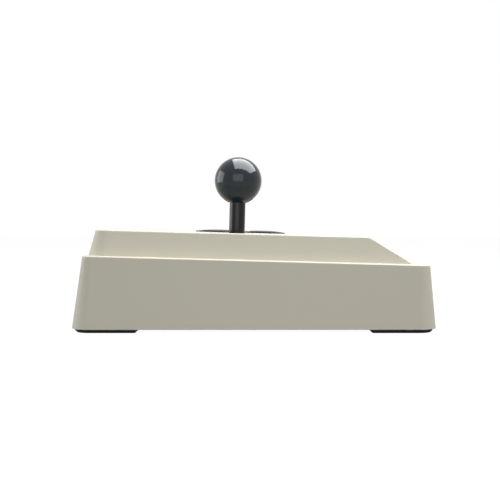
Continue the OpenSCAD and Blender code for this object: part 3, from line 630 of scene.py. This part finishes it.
def tier_side(rise_angle, top, inner, outer):
    """Profile of a tier wall that rises at an angle, rounded at its foot and at its top."""
    made = []
    foot = -inner * math.tan(rise_angle / 2)
    for k in range(FILLET_STEPS + 1):
        a = rise_angle * k / FILLET_STEPS
        made.append((foot + inner * math.sin(a), inner - inner * math.cos(a)))
    crest = top / math.tan(rise_angle) + outer * math.tan(rise_angle / 2)
    for k in range(FILLET_STEPS + 1):
        a = rise_angle * (1 - k / FILLET_STEPS)
        made.append((crest - outer * math.sin(a), top - outer + outer * math.cos(a)))
    return made


def tier_ring(side, front, wall=0.0, depth=0.0):
    """Ring of the tier, from its side's and its front's place in their profiles.

    A wall moves it that far inside the outer faces, and a depth that far down.
    """
    s = case_sizes()
    back, fore = case_bounds()
    lean = s.ledge * math.tan(s.draft)
    slope_wall = wall / math.sin(s.front_slope)
    matrix = case_matrix(s.ledge)
    points = outline(
        s.width / 2 - lean - s.side_ledge - wall - side[0], back - lean - s.back_ledge - wall - side[0],
        fore + lean + s.front_ledge + slope_wall + front[0], s.tier_corner - wall - side[0],
        s.front_corner)
    ring = []
    for i, (p, n) in enumerate(points):
        at_front = max(-n.y, 0) if i >= len(points) // 2 else 0
        height = side[1] + (front[1] - side[1]) * at_front
        ring.append(matrix @ Vector((p.x, p.y, height - depth)))
    return ring


def deck_holes():
    """Every hole of the deck: its place, radius, edge rounding and number of steps."""
    c = control_sizes()
    lever_edge, button_edge, key_edge, key_gap = 0.5 * MM, 0.3 * MM, 0.35 * MM, 0.3 * MM
    made = [(lever_spot(), c.lever_hole / 2, lever_edge, 64)]
    made += [(button_spot(i), c.button_hole / 2, button_edge, 64) for i in range(c.columns * c.rows)]
    made += [(key_spot(i), c.key / 2 + key_gap, key_edge, 40) for i in range(c.keys)]
    return made


def shell_mesh():
    """Closed shell of the case: outer walls, deck with its holes, inner walls and rim."""
    s = case_sizes()
    bm = bmesh.new()
    rim = 0.25 * MM
    mid_rim = rim * 0.3
    rings = [level_ring(rim, 0), level_ring(mid_rim, mid_rim), level_ring(0, rim)]
    rings += [wall_ring(inset, height) for inset, height in convex_edge(s.draft, s.ledge, s.edge)]
    sides = tier_side(math.pi / 2 - s.tier_draft, s.tier, s.inner_edge, s.edge)
    fronts = tier_side(s.front_slope, s.tier, s.inner_edge, s.crest)
    rings += [tier_ring(side, front) for side, front in zip(sides, fronts)]
    bottom, deck = loft(bm, rings)

    lower_in = s.wall + (s.ledge - s.wall) * math.tan(s.draft)
    under = s.tier - s.deck
    inner = [
        level_ring(s.wall, 0), wall_ring(lower_in, s.ledge - s.wall),
        tier_ring((0, 0), (0, 0), s.wall, s.wall), tier_ring((0, 0), (0, 0), s.wall),
        tier_ring((under * math.tan(s.tier_draft), under), (under / math.tan(s.front_slope), under),
                  s.wall)]
    inner_bottom, ceiling = loft(bm, inner)
    bridge(bm, bottom, inner_bottom)

    top = case_matrix(deck_height())
    deck_loops, ceiling_loops = [], []
    for spot, radius, edge, steps in deck_holes():
        profile = []
        for k in range(HOLE_STEPS + 1):
            a = math.pi / 2 * k / HOLE_STEPS
            profile.append((radius + edge * (1 - math.sin(a)), edge * (math.cos(a) - 1)))
        profile.append((radius, -s.deck))
        first, last = loft(bm, [[top @ p for p in circle(spot, r, h, steps)] for r, h in profile])
        deck_loops.append(first)
        ceiling_loops.append(last)
    fill_between(bm, deck, deck_loops)
    fill_between(bm, ceiling, ceiling_loops)
    return bm


def box_mesh(low, high, radius=0.0):
    """Block along Y whose four long edges can be rounded."""
    bm = bmesh.new()
    corners = [Vector((low[0], low[2])), Vector((high[0], low[2])), Vector((high[0], high[2])),
               Vector((low[0], high[2]))]
    if radius:
        points = [centre + n * r for centre, n, r in rounded_polygon(corners, [radius] * 4)]
    else:
        points = corners
    first, last = loft(bm, [[Vector((p.x, y, p.y)) for p in points] for y in (low[1], high[1])])
    bm.faces.new(first)
    bm.faces.new(last)
    return finish_mesh(bm, "cutter", None)


def cut(made, tool, operation):
    """Joins or takes away another solid."""
    step = made.modifiers.new(operation.lower(), "BOOLEAN")
    step.operation = operation
    step.object = tool
    step.solver = "EXACT"
    make_plain(made)
    bpy.data.objects.remove(tool)


class STICK_OT_case(bpy.types.Operator):
    """Moulded case: drafted walls, ledge, tier, deck with its holes, and the recess for the plug"""
    bl_idname = "stick.case"
    bl_label = "Case"

    def execute(self, context):
        shell = finish_mesh(shell_mesh(), "case_shell", finish("case_plastic"))
        low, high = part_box("usb_socket")
        middle = (Vector(low) + Vector(high)) / 2
        mouth = high[1]
        wide, tall = 6.5 * MM, 3.75 * MM  # half of the recess
        wall, recess_corner = 2 * MM, 1.2 * MM
        gap, slot_corner = 0.3 * MM, 1.7 * MM  # round the socket
        s = case_sizes()
        reach = s.depth / 2
        # From the bottom edge in to the middle of the back wall
        skin = (middle.z - s.foot) * math.tan(s.draft + s.tilt) + s.wall / 2
        pocket = box_mesh((-wide - wall, mouth - wall, middle.z - tall - wall),
                          (wide + wall, reach - skin, middle.z + tall + wall))
        cut(shell, pocket, "UNION")
        recess = box_mesh((-wide, mouth, middle.z - tall), (wide, reach + wall, middle.z + tall),
                          recess_corner)
        cut(shell, recess, "DIFFERENCE")
        slot = box_mesh((low[0] - gap, mouth - 2 * wall, low[2] - gap),
                        (high[0] + gap, mouth + wall, high[2] + gap), slot_corner)
        cut(shell, slot, "DIFFERENCE")
        bm = bmesh.new()
        bm.from_mesh(shell.data)
        bpy.data.objects.remove(shell)
        shell = finish_mesh(bm, "case_shell", finish("case_plastic"), flat_normals=True)
        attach(shell, "case")
        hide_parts("top_housing")
        return {"FINISHED"}


# ---- Feet and screws

# Inset and height of a foot's side in millimetres, from the chamfered tread to the rounded top
FOOT_SIDE = ((1.75, 0), (1.4, 0.1), (0.15, 1.35), (0.02, 1.65), (0, 2.2), (0.12, 2.4), (0.3, 2.5))


class STICK_OT_feet(bpy.types.Operator):
    """Rubber corner feet with a chamfered tread"""
    bl_idname = "stick.feet"
    bl_label = "Feet"

    def execute(self, context):
        outward, outer_corner, corner = 2.3 * MM, 10.5 * MM, 2.5 * MM
        straight = 0.55  # share of a leg before the outline turns to the other leg
        for node in ("foot_front_left", "foot_front_right", "foot_back_left", "foot_back_right"):
            low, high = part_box(node)
            sx = 1 if low[0] > 0 else -1
            sy = 1 if low[1] > 0 else -1
            leg = high[0] - low[0] + outward
            shape = [(0, 0), (leg, 0), (leg, leg * straight), (leg * straight, leg), (0, leg)]
            arcs = rounded_polygon([Vector(p) for p in shape], [outer_corner] + [corner] * 4)
            start = Vector((high[0] if sx > 0 else low[0], high[1] if sy > 0 else low[1]))
            start += Vector((sx, sy)) * outward
            bm = bmesh.new()
            rings = []
            for inset, height in FOOT_SIDE:
                ring = []
                for centre, n, r in arcs:
                    p = centre + n * (r - inset * MM)
                    ring.append(Vector((start.x - sx * p.x, start.y - sy * p.y, height * MM)))
                rings.append(ring)
            first, last = loft(bm, rings)
            bm.faces.new(first)
            bm.faces.new(last)
            pad = finish_mesh(bm, node + "_pad", finish("foot_rubber"), flat_normals=True)
            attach(pad, "case")
            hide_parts(node)
        return {"FINISHED"}


def new_tree(name, inputs):
    """Geometry node tree with one geometry in and out, and named inputs."""
    tree = bpy.data.node_groups.new(name, "GeometryNodeTree")
    tree.interface.new_socket("Geometry", in_out="INPUT", socket_type="NodeSocketGeometry")
    for label, kind, value in inputs:
        socket = tree.interface.new_socket(label, in_out="INPUT", socket_type=kind)
        if value is not None:
            socket.default_value = value
    tree.interface.new_socket("Geometry", in_out="OUTPUT", socket_type="NodeSocketGeometry")
    graph = Graph(tree)
    entry = graph.node("NodeGroupInput").socket.node
    return graph, {s.name: Wire(graph, s) for s in entry.outputs if s.name}


def run_tree(made, graph, values):
    """Runs a tree on an object with these inputs, and keeps the result as its mesh."""
    modifier = made.modifiers.new(graph.tree.name, "NODES")
    modifier.node_group = graph.tree
    for socket in graph.tree.interface.items_tree:
        if socket.in_out == "INPUT" and socket.name in values:
            modifier[socket.identifier] = values[socket.name]
    make_plain(made)


def close_tree(graph, geometry, material):
    """Makes the copies one mesh of one material, and ends the tree."""
    whole = graph.node("GeometryNodeRealizeInstances", None, {"Geometry": geometry})
    painted = graph.node("GeometryNodeSetMaterial", None, {"Geometry": whole, "Material": material})
    graph.node("NodeGroupOutput", None, {0: painted})


def lift(graph, part, height):
    """Moves a part of a tree up."""
    way = graph.node("ShaderNodeCombineXYZ", None, {"Z": height})
    return graph.node("GeometryNodeTransform", None, {"Geometry": part, "Translation": way})


def screw_tree():
    """Low heads with a cross recess, one at each point."""
    graph, given = new_tree("screw_heads", [
        ("Head Radius", "NodeSocketFloat", 2.8 * MM), ("Head Height", "NodeSocketFloat", 0.9 * MM),
        ("Cross Width", "NodeSocketFloat", 0.7 * MM), ("Cross Length", "NodeSocketFloat", 3.2 * MM),
        ("Shank Radius", "NodeSocketFloat", 1.5 * MM), ("Shank Length", "NodeSocketFloat", 10 * MM),
        ("Material", "NodeSocketMaterial", None)])
    head_r, head_h = given["Head Radius"], given["Head Height"]
    top_share, bar_share, turn = 0.78, 1.2, 0.4
    rim = graph.node("GeometryNodeMeshCylinder", None,
                     {"Vertices": 32, "Radius": head_r, "Depth": head_h / 2}, "Mesh")
    crown = graph.node("GeometryNodeMeshCone", None,
                       {"Vertices": 32, "Radius Top": head_r * top_share, "Radius Bottom": head_r,
                        "Depth": head_h / 2}, "Mesh")
    shank = graph.node("GeometryNodeMeshCylinder", None, {
        "Vertices": 24, "Radius": given["Shank Radius"], "Depth": given["Shank Length"]}, "Mesh")
    solid = graph.node("GeometryNodeMeshBoolean", {"operation": "UNION"}, {"Mesh 2": [
        lift(graph, rim, head_h / 4), lift(graph, crown, head_h / 2),
        lift(graph, shank, given["Shank Length"] * -0.5)]}, "Mesh")
    bars = []
    for first, second in (("Cross Length", "Cross Width"), ("Cross Width", "Cross Length")):
        size = graph.node("ShaderNodeCombineXYZ", None,
                          {"X": given[first], "Y": given[second], "Z": head_h * bar_share})
        bar = graph.node("GeometryNodeMeshCube", None, {"Size": size}, "Mesh")
        bars.append(lift(graph, bar, head_h))
    head = graph.node("GeometryNodeMeshBoolean", {"operation": "DIFFERENCE"},
                      {"Mesh 1": solid, "Mesh 2": bars}, "Mesh")
    turned = graph.node("GeometryNodeTransform", None,
                        {"Geometry": head, "Rotation": (math.pi, 0, turn)})
    heads = graph.node("GeometryNodeInstanceOnPoints", None,
                       {"Points": given["Geometry"], "Instance": turned})
    close_tree(graph, heads, given["Material"])
    return graph


class STICK_OT_screws(bpy.types.Operator):
    """Low-head screws that hold the base plate"""
    bl_idname = "stick.screws"
    bl_label = "Base screws"

    def execute(self, context):
        s = case_sizes()
        low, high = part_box("case_screws")
        head, from_side = 2.8 * MM, 55 * MM
        x, side, back, front = s.width / 2 - from_side, high[0] - head, high[1] - head, low[1] + head
        places = [(-x, back), (x, back), (-x, front), (0, front), (x, front), (-side, 0), (side, 0)]
        mesh = bpy.data.meshes.new("base_screws")
        mesh.from_pydata([(px, py, s.foot) for px, py in places], [], [])
        screws = bpy.data.objects.new("base_screws", mesh)
        context.scene.collection.objects.link(screws)
        run_tree(screws, screw_tree(), {"Material": finish("zinc_steel")})
        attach(screws, "case")
        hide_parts("case_screws")
        return {"FINISHED"}


# ---- Lever

class STICK_OT_lever(bpy.types.Operator):
    """Ball and shaft cover of the lever"""
    bl_idname = "stick.lever"
    bl_label = "Lever"

    def execute(self, context):
        c = control_sizes()
        spot = lever_spot()
        gap, bore_depth, lip = 0.2 * MM, 3.5 * MM, 0.35 * MM
        r = c.ball / 2
        mouth = c.cover / 2 + gap
        seat = bore_depth - r
        bm = bmesh.new()
        low = math.asin((mouth + lip) / r)
        profile = []
        for k in range(BALL_STEPS + 1):
            a = math.pi / 2 - (math.pi - low) * k / BALL_STEPS
            profile.append((0 if k == 0 else r * math.cos(a), r * math.sin(a)))
        edge = -r * math.cos(low)
        # The bore's mouth is broken, and the bore ends at the cover's top
        profile += [(mouth + 0.1 * MM, edge + 0.06 * MM), (mouth, edge + 0.25 * MM), (mouth, seat),
                    (0, seat)]
        lathe(bm, profile, on_deck(spot, c.ball_height), 128)
        ball = finish_mesh(bm, "ball", finish("ball_gloss"))
        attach(ball, "lever")
        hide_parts("ball_top")

        bm = bmesh.new()
        outer, inner = c.cover / 2, 4.85 * MM
        low_end, top_end = -11.3 * MM, c.ball_height + seat  # over the deck
        ring = [(inner, low_end), (outer, low_end), (outer, top_end), (inner, top_end)]
        lathe(bm, rounded(ring, [0.15 * MM, 0.4 * MM, 0.3 * MM, 0.15 * MM]), on_deck(spot))
        cover = finish_mesh(bm, "shaft_sleeve", finish("cover_gloss"))
        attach(cover, "lever")
        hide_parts("shaft_cover")
        return {"FINISHED"}


# ---- Buttons

def rim_tree():
    """One copy of the object at each place of a grid on the deck."""
    graph, given = new_tree("button_grid", [
        ("Columns", "NodeSocketInt", 4), ("Rows", "NodeSocketInt", 2),
        ("Column Pitch", "NodeSocketFloat", 36 * MM), ("Row Pitch", "NodeSocketFloat", 39.5 * MM),
        ("Middle", "NodeSocketVector", (0, 0, 0)), ("Tilt", "NodeSocketFloat", 0.0),
        ("Material", "NodeSocketMaterial", None)])
    grid = graph.node("GeometryNodeMeshGrid", None, {
        "Vertices X": given["Columns"], "Vertices Y": given["Rows"],
        "Size X": (given["Columns"] - 1) * given["Column Pitch"],
        "Size Y": (given["Rows"] - 1) * given["Row Pitch"]}, "Mesh")
    copies = graph.node("GeometryNodeInstanceOnPoints", None,
                        {"Points": grid, "Instance": given["Geometry"]})
    turn = graph.node("ShaderNodeCombineXYZ", None, {"X": given["Tilt"]})
    seated = graph.node("GeometryNodeTransform", None, {
        "Geometry": copies, "Translation": given["Middle"], "Rotation": turn})
    close_tree(graph, seated, given["Material"])
    return graph


class STICK_OT_button_bodies(bpy.types.Operator):
    """Snap-in bodies of the buttons, whose rims stand on the deck"""
    bl_idname = "stick.button_bodies"
    bl_label = "Button bodies"

    def execute(self, context):
        c = control_sizes()
        cap_gap, hole_gap, floor_wall = 0.3 * MM, 0.2 * MM, 1.6 * MM
        low, hole, rim_edge = -17 * MM, 2.6 * MM, c.rim_height * 0.4
        bore, barrel, floor = c.cap / 2 + cap_gap, c.button_hole / 2 - hole_gap, low + floor_wall
        points = [(hole, low), (barrel, low), (barrel, 0), (c.rim / 2, 0), (c.rim / 2, c.rim_height),
                  (bore, c.rim_height), (bore, floor), (hole, floor)]
        radii = [0, 0.3 * MM, 0, 0.1 * MM, rim_edge, rim_edge, 0, 0]
        bm = bmesh.new()
        lathe(bm, rounded(points, radii), Matrix.Identity(4))
        rims = finish_mesh(bm, "button_bodies", finish("button_gloss"))
        count = c.columns * c.rows
        middle = sum((button_spot(i) for i in range(count)), Vector((0, 0))) / count
        run_tree(rims, rim_tree(), {
            "Columns": c.columns, "Rows": c.rows, "Column Pitch": c.column_pitch,
            "Row Pitch": c.row_pitch, "Middle": on_deck(middle).translation, "Tilt": case_sizes().tilt,
            "Material": finish("button_gloss")})
        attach(rims, "case")
        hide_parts(*[f"button_body_{i + 1}" for i in range(count)])
        return {"FINISHED"}


class STICK_OT_button_caps(bpy.types.Operator):
    """Crowned caps of the buttons, each on its own body"""
    bl_idname = "stick.button_caps"
    bl_label = "Button caps"

    def execute(self, context):
        c = control_sizes()
        crown, edge, wall, thick, long, stem, stem_end = (
            size * MM for size in (0.35, 0.4, 1.5, 2.6, 11, 2.2, -18))
        crown_steps, edge_steps = 12, 6
        r, top = c.cap / 2, c.rim_height + c.cap_proud
        dome = (r * r + crown * crown) / (2 * crown)
        rim = r - edge
        drop = dome - math.sqrt(dome * dome - rim * rim)
        profile = []
        for k in range(crown_steps + 1):
            x = rim * k / crown_steps
            profile.append((x, top - dome + math.sqrt(dome * dome - x * x)))
        for k in range(1, edge_steps + 1):
            a = math.pi / 2 * (1 - k / edge_steps)
            profile.append((rim + edge * math.cos(a), top - drop - edge + edge * math.sin(a)))
        inside, skirt, under = r - wall, top - long, top - thick
        profile += [(r, skirt), (inside, skirt), (inside, under), (stem, under), (stem, stem_end),
                    (0, stem_end)]
        for i in range(c.columns * c.rows):
            bm = bmesh.new()
            lathe(bm, profile, on_deck(button_spot(i)))
            cap = finish_mesh(bm, f"button_crown_{i + 1}", finish("button_gloss"))
            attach(cap, f"button_{i + 1}")
            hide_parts(f"button_cap_{i + 1}")
        return {"FINISHED"}


class STICK_OT_keys(bpy.types.Operator):
    """Function keys that lie just under the deck, with a shallow dish"""
    bl_idname = "stick.keys"
    bl_label = "Function keys"

    def execute(self, context):
        c = control_sizes()
        top, dish, land, flange_top, flange_end = (size * MM for size in (-0.1, 0.35, 0.9, -3.3, -4.5))
        dish_steps = 8
        r = c.key / 2
        flange = r + 1.5 * MM
        profile = []
        for k in range(dish_steps + 1):
            x = (r - land) * k / dish_steps
            profile.append((x, top - dish * (1 - (x / r) ** 2)))
        for inset, drop in ((0.5, 0.02), (0.25, 0.03), (0.06, 0.16), (0, 0.35)):
            profile.append((r - inset * MM, top - drop * MM))
        profile += [(r, flange_top), (flange, flange_top), (flange, flange_end), (0, flange_end)]
        for i in range(c.keys):
            bm = bmesh.new()
            lathe(bm, profile, on_deck(key_spot(i)), 64)
            key = finish_mesh(bm, f"function_key_{i + 1}", finish("button_gloss"))
            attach(key, f"function_{i + 1}")
            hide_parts(f"function_cap_{i + 1}")
        return {"FINISHED"}


# ---- Carried-over parts

SLOT_FINISHES = {
    "case_plastic": "case_plastic", "foot_rubber": "foot_rubber", "plate_black": "plate_powder",
    "steel": "zinc_steel", "ball_plastic": "ball_gloss", "cover_plastic": "cover_gloss",
    "button_plastic": "button_gloss", "inner_black": "inner_plastic", "nylon": "nylon",
    "board": "circuit_board", "socket_metal": "socket_shell", "wiring": "wire_skin",
}


class STICK_OT_carried(bpy.types.Operator):
    """Finishes of the parts whose shape comes straight from the frame"""
    bl_idname = "stick.carried"
    bl_label = "Carried-over parts"

    def execute(self, context):
        for part in frame["record"]["subparts"]:
            node = frame["nodes"][part["node"]]
            material = finish(SLOT_FINISHES[part["material_slot"]])
            if not node.material_slots:
                node.data.materials.append(material)
            for slot in node.material_slots:
                slot.material = material
        return {"FINISHED"}


# ---- Stage

def soft_lamp(name, place, target, size, power, diffuse=True, glossy=True):
    """Rectangular lamp turned to a target, which lights what is matt, what is glossy or both."""
    lamp = bpy.data.lights.new(name, "AREA")
    lamp.shape = "RECTANGLE"
    lamp.size, lamp.size_y = size
    lamp.energy = power
    made = bpy.data.objects.new(name, lamp)
    made.location = place
    made.rotation_euler = (Vector(target) - Vector(place)).to_track_quat("-Z", "Y").to_euler()
    made.visible_camera = False
    made.visible_diffuse = diffuse
    made.visible_glossy = glossy
    bpy.context.scene.collection.objects.link(made)


def seen_directly(graph):
    """1 where a ray comes from the camera, a gloss or a glass, else 0."""
    camera, glossy, through = (graph.node("ShaderNodeLightPath", output=name) for name in
                               ("Is Camera Ray", "Is Glossy Ray", "Is Transmission Ray"))
    return (camera + glossy + through) > 0.5


class STICK_OT_stage(bpy.types.Operator):
    """White studio: floor, soft lamps, room light and camera"""
    bl_idname = "stick.stage"
    bl_label = "Studio"

    def execute(self, context):
        scene = context.scene
        studio = scene.stick_studio

        world = bpy.data.worlds.new("studio_room")
        world.use_nodes = True
        world.node_tree.nodes.clear()
        sky = Graph(world.node_tree)
        seen = seen_directly(sky)
        strength = studio.room + seen * (1 - studio.room)
        light = sky.node("ShaderNodeBackground", None, {"Color": (1, 1, 1, 1), "Strength": strength})
        sky.node("ShaderNodeOutputWorld", None, {"Surface": light})
        scene.world = world

        bm = bmesh.new()
        bmesh.ops.create_grid(bm, x_segments=1, y_segments=1, size=6)
        paper = Finish("studio_floor")
        paper.tree.nodes.clear()
        grey = studio.floor
        matt = paper.node("ShaderNodeBsdfDiffuse", None, {"Color": (grey, grey, grey, 1)})
        share, backdrop = 0.7, 0.98
        glow = paper.node("ShaderNodeEmission", None,
                          {"Color": (1, 1, 1, 1), "Strength": backdrop / share})
        both = paper.node("ShaderNodeMixShader", None,
                          {0: seen_directly(paper) * share, 1: matt, 2: glow})
        paper.node("ShaderNodeOutputMaterial", None, {"Surface": both})
        floor = finish_mesh(bm, "studio_floor", paper.material)

        soft_lamp("key_softbox", (-0.15, -0.5, 1.3), (-0.15, -0.5, 0), (0.55, 1.3), studio.key,
                  glossy=False)
        soft_lamp("gloss_card", (0.05, -0.78, 1.24), (0.05, -0.78, 0), (1.7, 2.2), studio.card,
                  diffuse=False)
        soft_lamp("back_softbox", (0.15, 1.3, 0.4), (0, 0, 0.06), (1.1, 0.8), studio.back)
        soft_lamp("side_fill", (-1.5, 0, 0.42), (0, 0, 0.06), (1.3, 0.9), studio.fill)

        lens = bpy.data.cameras.new("photo_camera")
        lens.sensor_width = 36
        lens.angle = studio.view_angle
        lens.clip_start, lens.clip_end = 0.01, 50
        camera = bpy.data.objects.new("photo_camera", lens)
        camera.location = studio.camera
        camera.rotation_euler = (math.pi / 2 - studio.pitch, 0, -math.pi / 2)
        scene.collection.objects.link(camera)
        scene.camera = camera
        scene.view_settings.view_transform = "Standard"
        return {"FINISHED"}


# ---- Panel and registration

PIECES = (STICK_OT_stage, STICK_OT_carried, STICK_OT_case, STICK_OT_feet, STICK_OT_screws, STICK_OT_lever,
          STICK_OT_button_bodies, STICK_OT_button_caps, STICK_OT_keys)
GROUPS = {"stick_case": CaseSizes, "stick_controls": ControlSizes, "stick_colours": StickColours,
          "stick_studio": StudioLight}


class STICK_PT_pieces(bpy.types.Panel):
    """Pieces of the stick and the sizes they follow"""
    bl_idname = "STICK_PT_pieces"
    bl_label = "Fight Stick"
    bl_space_type = "VIEW_3D"
    bl_region_type = "UI"
    bl_category = "Fight Stick"

    def draw(self, context):
        for piece in PIECES:
            self.layout.operator(piece.bl_idname)
        for name, group in GROUPS.items():
            box = self.layout.box()
            for key in group.__annotations__:
                box.prop(getattr(context.scene, name), key)


def register():
    for group in GROUPS.values():
        bpy.utils.register_class(group)
    for name, group in GROUPS.items():
        setattr(bpy.types.Scene, name, PointerProperty(type=group))
    for piece in PIECES + (STICK_PT_pieces,):
        bpy.utils.register_class(piece)


def unregister():
    for piece in (STICK_PT_pieces,) + PIECES[::-1]:
        bpy.utils.unregister_class(piece)
    for name in GROUPS:
        delattr(bpy.types.Scene, name)
    for group in GROUPS.values():
        bpy.utils.unregister_class(group)


def main():
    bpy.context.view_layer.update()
    register()
    for piece in PIECES:
        family, name = piece.bl_idname.split(".")
        getattr(getattr(bpy.ops, family), name)()


if __name__ == "__main__":
    main()
